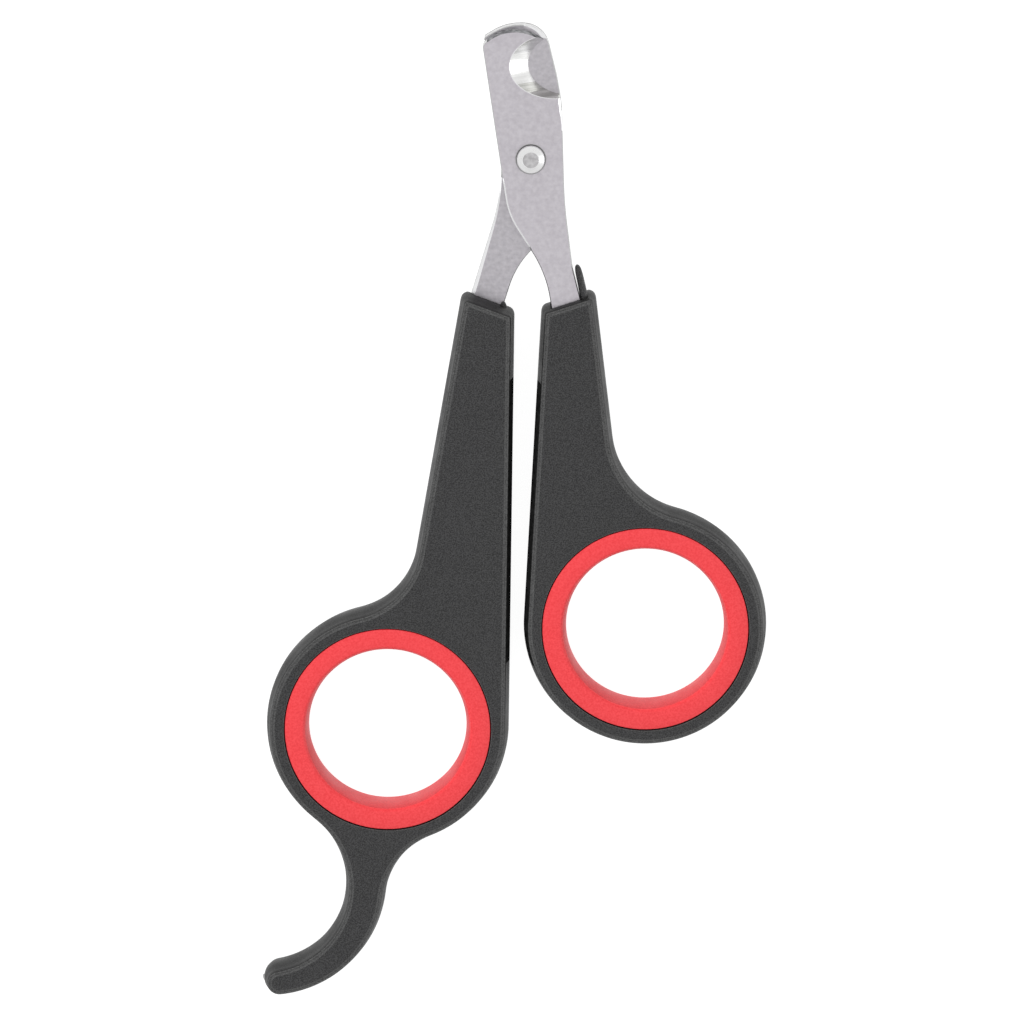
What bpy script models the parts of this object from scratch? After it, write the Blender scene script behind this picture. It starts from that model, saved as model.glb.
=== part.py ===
"""Pet nail trimmer: two stamped blades on a rivet, each moulded into a plastic ring handle.

The object lies flat on its back. X runs across it, Y runs from the finger hook to the blade tips
and Z is its thickness. Shapes are drawn in millimetres about the rivet's axis, with z = 0 where the
two blades meet, and are scaled to metres as they are made.
"""

import math

import bmesh
import bpy
from mathutils import Vector

MM = 0.001

# Driving dimensions, in millimetres
PIVOT = (2.14, 46.76)            # rivet axis, with the outline's box centred on the origin
HANDLE_THICK = 7.2
WALL_HEIGHT = 2.4                # a handle's wall bulges from its parting line up to here
WALL_BULGE = 0.34                # and leans in by this much on the way
RIM_WIDTH = 1.0                  # where a handle's rounded rim meets the flat face
RIM_LEAN = 20.0                  # degrees that the wall leans where the rounded rim begins
BLADE_THICK = 2.3
BLADE_GAP = 0.05                 # running gap between the two blades
BLADE_BREAK = 0.15               # broken edges of the stampings
POCKET_GAP = 0.1                 # clearance between a tang and its pocket

EYE_RADIUS = 15.68               # outer radius of a handle's ring
LEFT_EYE = (-18.5, -74.6)
RIGHT_EYE = (14.8, -61.3)

RING_RADIUS = 13.3               # outer radius of a soft ring
RING_WAIST = 10.2                # its finger hole, at the narrowest
RING_LIP = 11.05                 # where its rounded inside meets the flat face
RING_RECESS = 0.1                # the ring's faces lie this far below the handle's
RIB_HEIGHT = 0.7                 # rib in the handle's hole that keys the ring
RIB_HALF_WIDTH = 0.9
RING_GAP = 0.1

SHANK_RADIUS = 1.3
RUNNING_GAP = 0.05               # between the rivet and the blades
HEAD_RADIUS = 1.8
HEAD_HEIGHT = 0.8
HEAD_FLAT_RADIUS = 1.1
TAIL_RADIUS = 1.75
TAIL_HEIGHT = 0.55

ANCHOR_RADIUS = 1.1              # holes in the tangs that the plastic flows through
NOTCH_LENGTH = 5.8               # the notch is half an oval: this is its half length across the blade
NOTCH_HALF_WIDTH = 4.12          # and this its half width along the blade
NOTCH_SLANT = 1.12               # sideways run of the notch's ground wall for each mm of depth
NOTCH_REACH = 12.0               # how far a notch cutter runs out past the blade's edge
CUTTER_OVERRUN = 1.0             # how far a round cutter runs out of what it cuts

ARC_STEP = 7.0                   # degrees between the points of an outline's arc
SHORTEST_EDGE = 0.02             # points nearer than this are one point
TIGHTEST_CORNER = 0.15           # radius left on a corner as its outline is drawn in
SAME_ANGLE = 1e-6                # radians
WELD_DISTANCE = 1e-7             # metres
ROUND_STEPS = 56                 # sides of a turned ring
BORE_STEPS = 36                  # sides of the rivet and of its holes
NOTCH_STEPS = 24
RIM_STEPS = 4
INSIDE_STEPS = 12                # of a soft ring's rounded inside

# A handle's outline runs round signed discs, like a belt: (x, y, radius), with hollows negative.
# A disc that touches the one before it is given as (bearing in degrees, radius).
MOUTH_ROUND = 0.9
LEFT_MOUTH = ((-2.98, -20.58, MOUTH_ROUND), (-8.1, -18.67, MOUTH_ROUND))
RIGHT_MOUTH = ((7.49, -18.42, MOUTH_ROUND), (2.25, -20.13, MOUTH_ROUND))
LEFT_NECK = (103.64, -9.94)
RIGHT_NECK = (74.85, -11.43)
HOOK_INSIDE = (-35.09, -95.65, -11.09)
HOOK_TIP = (-79.5, 2.05)
HOOK_OUTSIDE = (96.2, 15.42)
HOOK_CROOK = (-6.35, -9.64)

# Corners of the blades' outlines with their radii, anticlockwise from the tang's end
FRONT_CORNERS = (
    (7.7, -43.6, 1.6),
    (6.45, -18.6, 3.0),
    (5.35, -14.2, 3.5),
    (4.33, -6.0, 60.0),
    (4.02, 4.6, 60.0),
    (3.1, 14.0, 0.8),
    (-2.45, 18.3, 5.7),
    (-6.16, 14.65, 0.9),
    (-2.9, -7.2, 10.0),
    (1.95, -14.85, 16.0),
    (2.83, -20.5, 10.0),
    (3.85, -43.9, 1.6),
)
REAR_CORNERS = (
    (-6.3, -44.2, 1.6),
    (-3.75, -20.2, 10.0),
    (-1.9, -14.3, 12.0),
    (3.9, -8.3, 8.0),
    (4.08, 2.0, 30.0),
    (3.98, 6.7, 20.0),
    (3.3, 10.4, 20.0),
    (1.72, 16.88, 3.4),
    (-3.1, 16.98, 6.5),
    (-6.0, 15.27, 0.5),
    (-4.1, 3.0, 10.0),
    (-3.35, -4.0, 27.0),
    (-7.75, -18.6, 10.0),
    (-10.6, -43.8, 1.6),
)
FRONT_NOTCH = (5.46, 11.97)      # centre of the notch's oval, on the face between the blades
REAR_NOTCH = (-7.9, 11.1)
FRONT_ANCHORS = ((4.9, -27.0), (5.6, -37.5))
REAR_ANCHORS = ((-6.3, -27.0), (-7.3, -37.5))

BLADE_STEEL = ((0.56, 0.55, 0.57), 0.38, 1.0)
RIVET_STEEL = ((0.66, 0.66, 0.67), 0.28, 1.0)
BLACK_PLASTIC = ((0.055, 0.055, 0.057), 0.62, 0.0)
RED_RUBBER = ((0.80, 0.06, 0.07), 0.55, 0.0)


# Outlines. Each point comes with its outward normal, how far it can be drawn in along that before
# its corner closes up, and the way that the closed corner then slides, so an outline can be inset.

def disc_contact(disc, heading):
    """Point and outward normal where a path with this heading touches a signed disc."""
    normal = Vector((math.sin(heading), -math.cos(heading)))
    return Vector(disc[:2]) + normal * disc[2], normal


def tangent_heading(first, second):
    """Heading of the straight run from one signed disc to the next."""
    run_x = second[0] - first[0]
    run_y = second[1] - first[1]
    slip = (first[2] - second[2]) / math.hypot(run_x, run_y)
    return math.atan2(run_y, run_x) + math.asin(max(-1.0, min(1.0, slip)))


def belt(discs):
    """Closed outline round signed discs: straight runs joined by arcs."""
    headings = [tangent_heading(disc, discs[(i + 1) % len(discs)]) for i, disc in enumerate(discs)]
    outline = []
    for i, disc in enumerate(discs):
        arrive = headings[i - 1]
        turn = (headings[i] - arrive) % math.tau
        if disc[2] < 0.0:
            turn -= math.tau
        if math.tau - abs(turn) < SAME_ANGLE:
            turn = 0.0
        steps = max(1, math.ceil(math.degrees(abs(turn)) / ARC_STEP))
        room = disc[2] - TIGHTEST_CORNER if disc[2] > 0.0 else math.inf
        slide = disc_contact(disc, arrive + turn / 2.0)[1] / -math.cos(turn / 2.0)
        for k in range(steps + 1):
            point, normal = disc_contact(disc, arrive + turn * k / steps)
            outline.append((point, normal, room, slide))
    return [
        outline[i]
        for i in range(len(outline))
        if (outline[i][0] - outline[i - 1][0]).length > SHORTEST_EDGE
    ]


def drawn(outline, inset=0.0):
    """Points of an outline drawn in, or out where the inset is negative."""
    moved = []
    for point, normal, room, slide in outline:
        along = min(inset, room)
        moved.append(point - normal * along + slide * (inset - along))
    return moved


def corner_discs(corners):
    """Signed discs that round the corners of a polygon."""
    discs = []
    for i, (x, y, radius) in enumerate(corners):
        here = Vector((x, y))
        back = (Vector(corners[i - 1][:2]) - here).normalized()
        ahead = (Vector(corners[(i + 1) % len(corners)][:2]) - here).normalized()
        turns_left = (-back).cross(ahead) > 0.0
        half_angle = back.angle(ahead) / 2.0
        centre = here + (back + ahead).normalized() * radius / math.sin(half_angle)
        discs.append((centre.x, centre.y, radius if turns_left else -radius))
    return discs


def against(disc, bearing_deg, radius):
    """Signed disc that touches another, with its centre at this bearing from the other's."""
    distance = abs(disc[2] - radius)
    bearing = math.radians(bearing_deg)
    return disc[0] + distance * math.cos(bearing), disc[1] + distance * math.sin(bearing), radius


# Scene helpers

def clear_scene():
    for old in list(bpy.data.objects):
        bpy.data.objects.remove(old, do_unlink=True)


def make_collection(name):
    collection = bpy.data.collections.new(name)
    bpy.context.scene.collection.children.link(collection)
    return collection


def make_material(name, finish):
    colour, roughness, metallic = finish
    material = bpy.data.materials.new(name)
    material.use_nodes = True
    shader = material.node_tree.nodes["Principled BSDF"]
    shader.inputs["Base Color"].default_value = (*colour, 1.0)
    shader.inputs["Roughness"].default_value = roughness
    shader.inputs["Metallic"].default_value = metallic
    material.diffuse_color = (*colour, 1.0)
    return material


def pivot_empty(name, collection, parent=None):
    empty = bpy.data.objects.new(name, None)
    collection.objects.link(empty)
    empty.parent = parent
    return empty


def as_cutter(obj):
    obj.hide_render = True
    obj.display_type = "WIRE"


def cut(obj, cutter):
    boolean = obj.modifiers.new("cut_" + cutter.name, "BOOLEAN")
    boolean.operation = "DIFFERENCE"
    boolean.solver = "EXACT"
    boolean.object = cutter


def break_rims(obj, width):
    """Chamfers only the rims, where the walls meet the two flat faces."""
    bevel = obj.modifiers.new("rims", "BEVEL")
    bevel.width = width * MM
    bevel.segments = 1
    bevel.limit_method = "ANGLE"
    bevel.angle_limit = math.radians(60.0)
    bevel.use_clamp_overlap = False


def shade_round(mesh, sharp_deg=35.0):
    mesh.shade_smooth()
    mesh.set_sharp_from_angle(angle=math.radians(sharp_deg))


def plate(name, collection, parent, outline, low, high):
    """Flat piece of one outline between two heights: a filled 2D curve, made a mesh."""
    curve = bpy.data.curves.new(name + "_outline", "CURVE")
    curve.dimensions = "2D"
    curve.fill_mode = "BOTH"
    curve.extrude = (high - low) / 2.0 * MM
    spline = curve.splines.new("POLY")
    spline.points.add(len(outline) - 1)
    for point, (x, y) in zip(spline.points, outline):
        point.co = (x * MM, y * MM, 0.0, 1.0)
    spline.use_cyclic_u = True
    guide = bpy.data.objects.new(name + "_outline", curve)
    guide.location = (0.0, 0.0, (low + high) / 2.0 * MM)
    collection.objects.link(guide)
    bpy.context.view_layer.update()
    mesh = bpy.data.meshes.new_from_object(guide.evaluated_get(bpy.context.evaluated_depsgraph_get()))
    weld_flat(mesh)
    obj = bpy.data.objects.new(name, mesh)
    obj.matrix_world = guide.matrix_world
    collection.objects.link(obj)
    obj.parent = parent
    bpy.data.objects.remove(guide)
    shade_round(mesh)
    return obj


def weld_flat(mesh):
    """Welds the caps to the walls and makes each cap a single face."""
    model = bmesh.new()
    model.from_mesh(mesh)
    bmesh.ops.remove_doubles(model, verts=model.verts, dist=WELD_DISTANCE)
    bmesh.ops.dissolve_limit(model, angle_limit=math.radians(0.5), verts=model.verts, edges=model.edges)
    bmesh.ops.recalc_face_normals(model, faces=model.faces)
    model.to_mesh(mesh)
    model.free()


def lofted(name, collection, parent, outline, section):
    """Solid of one outline drawn in as it rises: section is (inset, height) from back to front."""
    model = bmesh.new()
    rows = []
    for inset, height in section:
        points = drawn(outline, inset)
        rows.append([model.verts.new(Vector((point.x, point.y, height)) * MM) for point in points])
    for low, high in zip(rows, rows[1:]):
        for i in range(len(low)):
            model.faces.new((low[i - 1], low[i], high[i], high[i - 1]))
    model.faces.new(rows[-1])
    model.faces.new(reversed(rows[0]))
    mesh = bpy.data.meshes.new(name)
    model.to_mesh(mesh)
    model.free()
    obj = bpy.data.objects.new(name, mesh)
    collection.objects.link(obj)
    obj.parent = parent
    shade_round(mesh)
    return obj


def turned(name, collection, parent, profile, centre=(0.0, 0.0), steps=ROUND_STEPS):
    """Piece turned about Z from a closed or axis-to-axis profile of (radius, height) points."""
    mesh = bpy.data.meshes.new(name)
    points = [(radius * MM, 0.0, height * MM) for radius, height in profile]
    closed = profile[0][0] > 0.0
    last = len(points) if closed else len(points) - 1
    edges = [(i, (i + 1) % len(points)) for i in range(last)]
    mesh.from_pydata(points, edges, [])
    obj = bpy.data.objects.new(name, mesh)
    collection.objects.link(obj)
    obj.parent = parent
    obj.location = (centre[0] * MM, centre[1] * MM, 0.0)
    screw = obj.modifiers.new("turn", "SCREW")
    screw.steps = steps
    screw.render_steps = steps
    screw.use_merge_vertices = True
    screw.merge_threshold = WELD_DISTANCE
    screw.use_smooth_shade = True
    return obj


def post(name, collection, parent, centre, radius, low, high):
    """Round cutter along Z, through what stands between two heights."""
    model = bmesh.new()
    bmesh.ops.create_cone(
        model,
        cap_ends=True,
        segments=BORE_STEPS,
        radius1=radius * MM,
        radius2=radius * MM,
        depth=(high - low + 2.0 * CUTTER_OVERRUN) * MM,
    )
    mesh = bpy.data.meshes.new(name)
    model.to_mesh(mesh)
    model.free()
    obj = bpy.data.objects.new(name, mesh)
    obj.location = (centre[0] * MM, centre[1] * MM, (low + high) / 2.0 * MM)
    collection.objects.link(obj)
    obj.parent = parent
    as_cutter(obj)
    return obj


# Blades

def notch_outline(side):
    """Half oval on the blade, straight out past its edge. side is 1 to open towards +X, -1 towards -X."""
    half = [math.radians(90.0 + 180.0 * k / NOTCH_STEPS) for k in range(NOTCH_STEPS + 1)]
    points = [(NOTCH_LENGTH * math.cos(a), NOTCH_HALF_WIDTH * math.sin(a)) for a in half]
    points += [(NOTCH_REACH, -NOTCH_HALF_WIDTH), (NOTCH_REACH, NOTCH_HALF_WIDTH)]
    return [(side * x, y) for x, y in points][::side]


def notch_cutter(name, cutters, parent, centre, side, face):
    """Oblique grind: its wall runs away from the opening as it leaves the face between the blades."""
    half_depth = BLADE_THICK * 2.0
    obj = plate(name, cutters, parent, notch_outline(side), -half_depth, half_depth)
    for vertex in obj.data.vertices:
        vertex.co.x -= side * face * NOTCH_SLANT * vertex.co.z
    obj.location = (centre[0] * MM, centre[1] * MM, 0.0)
    as_cutter(obj)
    return obj


def blade(name, parts, cutters, parent, corners, notch, side, face, anchors):
    """A stamping on one side of the parting plane: face is 1 for the front blade, -1 for the rear."""
    low, high = sorted((face * BLADE_GAP / 2.0, face * BLADE_THICK))
    obj = plate(name, parts, parent, drawn(belt(corner_discs(corners))), low, high)
    break_rims(obj, BLADE_BREAK)
    cut(obj, post(name + "_bore", cutters, parent, (0.0, 0.0), SHANK_RADIUS + RUNNING_GAP, low, high))
    for i, centre in enumerate(anchors):
        cut(obj, post(f"{name}_anchor_{i}", cutters, parent, centre, ANCHOR_RADIUS, low, high))
    cut(obj, notch_cutter(name + "_notch", cutters, parent, notch, side, face))
    return obj


def tang_pocket(name, cutters, parent, corners, face, anchors):
    """Room for a tang in its handle, with posts left standing where the plastic fills the anchor holes."""
    low, high = sorted((face * BLADE_GAP / 2.0, face * BLADE_THICK))
    outline = drawn(belt(corner_discs(corners)), -POCKET_GAP)
    pocket = plate(name, cutters, parent, outline, low - POCKET_GAP, high + POCKET_GAP)
    as_cutter(pocket)
    for i, centre in enumerate(anchors):
        cut(pocket, post(f"{name}_plug_{i}", cutters, parent, centre, ANCHOR_RADIUS - POCKET_GAP, low, high))
    return pocket


# Handles and rings

def left_outline():
    eye = (*LEFT_EYE, EYE_RADIUS)
    tip = against(HOOK_INSIDE, *HOOK_TIP)
    outside = against(tip, *HOOK_OUTSIDE)
    crook = against(outside, *HOOK_CROOK)
    return belt([*LEFT_MOUTH, against(eye, *LEFT_NECK), eye, HOOK_INSIDE, tip, outside, crook, eye])


def right_outline():
    eye = (*RIGHT_EYE, EYE_RADIUS)
    return belt([*RIGHT_MOUTH, eye, against(eye, *RIGHT_NECK)])


def ring_seat(name, cutters, parent, centre):
    """Cutter for the finger hole: a wide bore with a groove's width left proud as the rib."""
    top = HANDLE_THICK
    wide = RING_RADIUS + RING_GAP
    narrow = wide - RIB_HEIGHT
    profile = [
        (0.0, top),
        (wide, top),
        (wide, RIB_HALF_WIDTH),
        (narrow, RIB_HALF_WIDTH),
        (narrow, -RIB_HALF_WIDTH),
        (wide, -RIB_HALF_WIDTH),
        (wide, -top),
        (0.0, -top),
    ]
    seat = turned(name, cutters, parent, profile, centre)
    as_cutter(seat)
    return seat


def handle_section():
    """Section of a handle's rim from back to front: walls that bulge at the parting line, and round rims."""
    half = HANDLE_THICK / 2.0
    lean = math.radians(RIM_LEAN)
    rise = (half - WALL_HEIGHT) / (1.0 - math.sin(lean))
    run = (RIM_WIDTH - WALL_BULGE) / math.cos(lean)
    angles = [lean + (math.pi / 2.0 - lean) * k / RIM_STEPS for k in range(RIM_STEPS + 1)]
    rim = [(RIM_WIDTH - run * math.cos(a), half - rise + rise * math.sin(a)) for a in angles]
    side = [(0.0, 0.0), (WALL_BULGE / 4.0, WALL_HEIGHT / 2.0), *rim]
    return [(inset, -height) for inset, height in reversed(side)] + side[1:]


def handle(name, parts, cutters, parent, outline, eye, pocket):
    obj = lofted(name, parts, parent, outline, handle_section())
    cut(obj, ring_seat(name + "_seat", cutters, parent, eye))
    cut(obj, pocket)
    return obj


def ring_profile():
    """Soft ring: flat faces, a rounded inside and a groove round the outside for the handle's rib."""
    half = HANDLE_THICK / 2.0 - RING_RECESS
    groove_half = RIB_HALF_WIDTH + RING_GAP
    groove_radius = RING_RADIUS - RIB_HEIGHT
    outside = [
        (RING_RADIUS, half),
        (RING_RADIUS, groove_half),
        (groove_radius, groove_half),
        (groove_radius, -groove_half),
        (RING_RADIUS, -groove_half),
        (RING_RADIUS, -half),
    ]
    angles = [math.pi * (k / INSIDE_STEPS - 0.5) for k in range(INSIDE_STEPS + 1)]
    inside = [(RING_LIP - (RING_LIP - RING_WAIST) * math.cos(a), half * math.sin(a)) for a in angles]
    return outside + inside


def rivet_profile():
    """Turned rivet: chamfered head in front, shank through both blades, low peened tail behind."""
    under_head = BLADE_THICK + RUNNING_GAP
    chamfer = HEAD_RADIUS - HEAD_FLAT_RADIUS
    return [
        (0.0, under_head + HEAD_HEIGHT),
        (HEAD_FLAT_RADIUS, under_head + HEAD_HEIGHT),
        (HEAD_RADIUS - chamfer * 0.25, under_head + HEAD_HEIGHT * 0.7),
        (HEAD_RADIUS, under_head + HEAD_HEIGHT * 0.4),
        (HEAD_RADIUS, under_head),
        (SHANK_RADIUS, under_head),
        (SHANK_RADIUS, -under_head),
        (TAIL_RADIUS, -under_head),
        (TAIL_RADIUS, -under_head - TAIL_HEIGHT * 0.4),
        (TAIL_RADIUS * 0.8, -under_head - TAIL_HEIGHT * 0.85),
        (TAIL_RADIUS * 0.4, -under_head - TAIL_HEIGHT),
        (0.0, -under_head - TAIL_HEIGHT),
    ]


def paint(obj, finish):
    obj.data.materials.clear()
    obj.data.materials.append(make_material(obj.name, finish))


def build():
    clear_scene()
    parts = make_collection("pet_nail_trimmer")
    cutters = make_collection("cutters")

    rear_lever = pivot_empty("rear_lever", parts)
    front_lever = pivot_empty("front_lever", parts, rear_lever)
    rear_lever.location = (PIVOT[0] * MM, PIVOT[1] * MM, HANDLE_THICK / 2.0 * MM)

    front = blade("front_blade", parts, cutters, front_lever, FRONT_CORNERS, FRONT_NOTCH, 1, 1, FRONT_ANCHORS)
    rear = blade("rear_blade", parts, cutters, rear_lever, REAR_CORNERS, REAR_NOTCH, -1, -1, REAR_ANCHORS)
    rivet = turned("pivot_rivet", parts, rear_lever, rivet_profile(), steps=BORE_STEPS)
    for steel in (front, rear):
        paint(steel, BLADE_STEEL)
    paint(rivet, RIVET_STEEL)

    front_pocket = tang_pocket("front_pocket", cutters, front_lever, FRONT_CORNERS, 1, FRONT_ANCHORS)
    rear_pocket = tang_pocket("rear_pocket", cutters, rear_lever, REAR_CORNERS, -1, REAR_ANCHORS)
    left = handle("left_handle", parts, cutters, rear_lever, left_outline(), LEFT_EYE, rear_pocket)
    right = handle("right_handle", parts, cutters, front_lever, right_outline(), RIGHT_EYE, front_pocket)
    for grip in (left, right):
        paint(grip, BLACK_PLASTIC)

    left_ring = turned("left_ring", parts, rear_lever, ring_profile(), LEFT_EYE)
    right_ring = turned("right_ring", parts, front_lever, ring_profile(), RIGHT_EYE)
    for soft in (left_ring, right_ring):
        paint(soft, RED_RUBBER)


build()
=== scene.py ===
"""Looks of a pet nail trimmer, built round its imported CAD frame.

Shapes are drawn in millimetres about the rivet's axis, with z = 0 where the two blades meet, and are
scaled to metres as they are made. X runs across the trimmer and Y from the finger hook to the blade tips.
"""

import math

import bmesh
import bpy
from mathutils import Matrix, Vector


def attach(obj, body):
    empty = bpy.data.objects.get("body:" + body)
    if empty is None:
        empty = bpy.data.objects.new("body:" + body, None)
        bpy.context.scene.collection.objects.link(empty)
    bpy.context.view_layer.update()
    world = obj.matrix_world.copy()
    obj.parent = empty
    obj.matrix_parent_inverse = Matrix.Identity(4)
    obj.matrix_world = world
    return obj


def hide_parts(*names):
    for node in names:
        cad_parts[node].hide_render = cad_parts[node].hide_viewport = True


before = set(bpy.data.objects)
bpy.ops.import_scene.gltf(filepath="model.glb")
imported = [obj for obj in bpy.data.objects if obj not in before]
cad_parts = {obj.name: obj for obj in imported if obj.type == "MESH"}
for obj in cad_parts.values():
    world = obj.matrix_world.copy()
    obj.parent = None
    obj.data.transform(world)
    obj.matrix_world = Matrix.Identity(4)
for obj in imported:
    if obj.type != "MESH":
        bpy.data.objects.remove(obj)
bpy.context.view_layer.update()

MM = 0.001
PIVOT = Vector((0.00214, 0.04676, 0.0036))

# Outlines, in millimetres: the discs and corners of the CAD source, with the crook of the hook eased
EYE_RADIUS = 15.68
LEFT_EYE = (-18.5, -74.6)
RIGHT_EYE = (14.8, -61.3)
MOUTH_ROUND = 0.9
LEFT_MOUTH = ((-2.98, -20.58, MOUTH_ROUND), (-8.1, -18.67, MOUTH_ROUND))
RIGHT_MOUTH = ((7.49, -18.42, MOUTH_ROUND), (2.25, -20.13, MOUTH_ROUND))
LEFT_NECK = (103.64, -9.94)
RIGHT_NECK = (74.85, -11.43)
HOOK_INSIDE = (-35.09, -95.65, -11.09)
HOOK_TIP = (-79.5, 2.05)
HOOK_OUTSIDE = (96.2, 15.42)
HOOK_CROOK = (-6.63, -9.64)
FRONT_CORNERS = (
    (7.7, -43.6, 1.6),
    (6.45, -18.6, 3.0),
    (5.35, -14.2, 3.5),
    (4.33, -6.0, 60.0),
    (4.02, 4.6, 60.0),
    (3.1, 14.0, 0.8),
    (-2.45, 18.3, 5.7),
    (-6.16, 14.65, 0.9),
    (-2.9, -7.2, 10.0),
    (1.95, -14.85, 16.0),
    (2.83, -20.5, 10.0),
    (3.85, -43.9, 1.6),
)
REAR_CORNERS = (
    (-6.3, -44.2, 1.6),
    (-3.75, -20.2, 10.0),
    (-1.9, -14.3, 12.0),
    (3.9, -8.3, 8.0),
    (4.08, 2.0, 30.0),
    (3.98, 6.7, 20.0),
    (3.3, 10.4, 20.0),
    (1.72, 16.88, 3.4),
    (-3.1, 16.98, 6.5),
    (-6.0, 15.27, 0.5),
    (-4.1, 3.0, 10.0),
    (-3.35, -4.0, 27.0),
    (-7.75, -18.6, 10.0),
    (-10.6, -43.8, 1.6),
)
FRONT_ANCHORS = ((4.9, -27.0), (5.6, -37.5))
REAR_ANCHORS = ((-6.3, -27.0), (-7.3, -37.5))
FRONT_NOTCH = (5.46, 11.97)
REAR_NOTCH = (-7.9, 11.1)

# Sections, in millimetres
HALF_THICK = 3.6                 # half the thickness of a handle
WALL_HEIGHT = 2.4                # a handle's wall bulges from the parting line up to here
WALL_BULGE = 0.34                # and leans in by this much on the way
RIM_LEAN = 20.0                  # degrees that the wall leans where the rounded rim begins
RIM_WIDTH = 0.66                 # where the rounded rim ends, in from the outline
FACE_STEP = 0.05                 # the flat face stands this much above the rim
CREASE_WIDTH = 0.42              # crease between the rim and the face
CREASE_DEPTH = 0.06
CREASE_FLOOR = (0.3, 0.4)        # shares of its width between which it is deepest
CREST = (0.03, 0.012)            # broken edge of the face: how far out from it, how far down
FACE_MARGIN = 0.1                # width of the face's own outermost band
STOP_TOP = -28.8                 # the handles' closing walls carry painted shade, an ungrained near-black, from here down
STOP_BOTTOM = -66.0
STOP_HEIGHT = 3.42               # and up to this height
STOP_CLEARANCE = 1.0             # and this far clear of the seat
SEAT_RADIUS = 13.4               # hole in a handle, which the soft ring lines
SEAT_BREAK = 0.12
RIB_HEIGHT = 0.7                 # rib in the seat that keys the ring
RIB_HALF_WIDTH = 0.9
BREAK_ROUNDING = 0.3             # a rounded broken edge passes at this share of its width from the corner

RING_RADIUS = 13.3
RING_HALF_THICK = 3.5
RING_WAIST = 10.2                # the finger hole's radius, at the narrowest
RING_LIP = 11.05                 # where its rounded inside meets the flat face
RING_BREAK = 0.14
GROOVE_HALF_WIDTH = 1.0
BORE_HEIGHT = 3.1                # the inside of a soft ring is painted darker up to here, as shade

BLADE_LOW = 0.025                # a blade's mating face, above the plane where the two meet
BLADE_HIGH = 2.3
THICK = BLADE_HIGH - BLADE_LOW
BORE_RADIUS = 1.35
ANCHOR_RADIUS = 1.1
HOLE_BREAK = 0.1
POCKET_GAP = 0.1                 # clearance between a tang and its pocket
BACK_BREAK = 0.08                # broken edge round a blade's hidden face
SHEARED_DEPTH = 1.75             # a blade's wall is sheared smooth down to here, and torn below
FACE_DROP = 0.14                 # height of the broken edge round its visible face
NOTCH_LENGTH = 5.8               # half length of the notch's oval, across the blade
NOTCH_HALF_WIDTH = 4.12          # and its half width along the blade
NOTCH_SLANT = 1.04               # sideways run of the notch's ground wall for each mm of depth
NOTCH_REACH = 12.0               # how far a notch's cutter runs out from the oval's centre
NOTCH_STEPS = 48
NOTCH_BREAK = 0.06
FACE_BREAK = 0.1                 # width of the broken edge round a blade's visible face
NECK_TOP = -2.8                  # the front blade's left edge is polished between these
NECK_BOTTOM = -11.6
NECK_BREAK = 0.2
FOOT_TOP = 8.2                   # its right edge is polished between these, just below the notch
FOOT_BOTTOM = 3.9
FOOT_BREAKS = (0.06, 0.2)        # least width of that edge, and what it gains on the way up
FOOT_RUN = 4.3                   # over this length
TANG_TOP = -3.0                  # the rear blade's left edge is polished from here down
TANG_GAIN = 0.28                 # and grows wider by this much
TANG_RUN = 13.0                  # over this length
END_BOTTOM = 13.0                # the front blade's end lies above this, and is painted dark as shade
SHOULDER_BOTTOM = 15.3           # the rear blade's right shoulder is polished above this
SHOULDER_GAIN = 0.45             # and grows wider by this much as it turns to the right

SHANK_RADIUS = 1.3
HEAD_UNDER = 2.35                # underside of the rivet's head
HEAD_RADIUS = 1.8
HEAD_HEIGHT = 0.8
HEAD_FLAT_RADIUS = 1.07
SINK_RADIUS = 1.97               # the front blade's hole opens out to this, round the rivet's head
SINK_DEPTH = 0.3
TAIL_RADIUS = 1.75
TAIL_HEIGHT = 0.55

# Leftovers of the moulding: start, bend, end, half width, half depth and height above the parting plane
NIB = ((6.95, -18.6), (6.5, -16.2), (5.9, -13.75), 0.5, 0.8, 1.6)
LIP = ((-3.2, -20.2), (-3.4, -19.4), (-3.6, -18.9), 0.34, 0.6, 0.2)
GATE = ((-34.1, -108.35), (-34.5, -108.5), (-34.85, -108.63), 0.5, 0.6, 0.6)
SLIVER_STEPS = 30
SLIVER_SIDES = 16
SLIVER_BLUNTNESS = 10            # power of the fall at its tip
SLIVER_THINNING = 0.12           # share of its width lost on the way
SLIVER_LEAST = 0.02              # and what is left of it at the very tip

ARC_DEGREES = 9.0                # most that one segment of a curve turns
ARC_LENGTH = 0.6                 # and its greatest length
ROUND_STEPS = 120                # sides of what is turned or bored
RUN_LENGTH = 0.9                 # greatest length of one segment of a straight run
SHORTEST_EDGE = 0.02
SAME_ANGLE = 1e-6                # radians
TIGHTEST_CORNER = 0.12           # radius left on a corner as its outline is drawn in
STILL = Vector((0.0, 0.0))
SHARP_ANGLE = math.radians(30.0)

# How far a face's normal rises: 0 on an upright wall, 1 on a level face
WALL_RISE = 0.1                  # a notch's wall is below this, before it is slanted
SIDE_RISE = 0.6                  # a handle's side is below this, and is painted darker as shade
RIM_RISE = 0.985                 # and its rim is between that and this, and is painted lighter as a highlight
BORE_RISE = 0.9                  # the inside of a soft ring is below this, where it is painted darker as shade
CHAMFER_RISE = 0.15              # a blade's broken edge is above this
FLAT_RISE = 0.98                 # and below this, and a flat face is above it

# Camera
TARGET = Vector((-0.00026, 0.0002, 0.0036))
CAMERA_DISTANCE = 1.1
CAMERA_TILT = math.radians(12.3)  # off the vertical, towards the blade tips
FIELD_WIDTH = 0.1321              # what the picture spans at the target
SENSOR_WIDTH = 36.0

# Light
ZENITH_LIGHT = 0.85
HORIZON_LIGHT = 0.7
ZENITH_RISE = 0.8                 # the sky is at its brightest from here up
TABLE_GLOW = 0.93
FLOOR_HALF_SIZE = 6.0
FLOOR_DROP = 0.00002              # keeps the table's face clear of the part's
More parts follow.
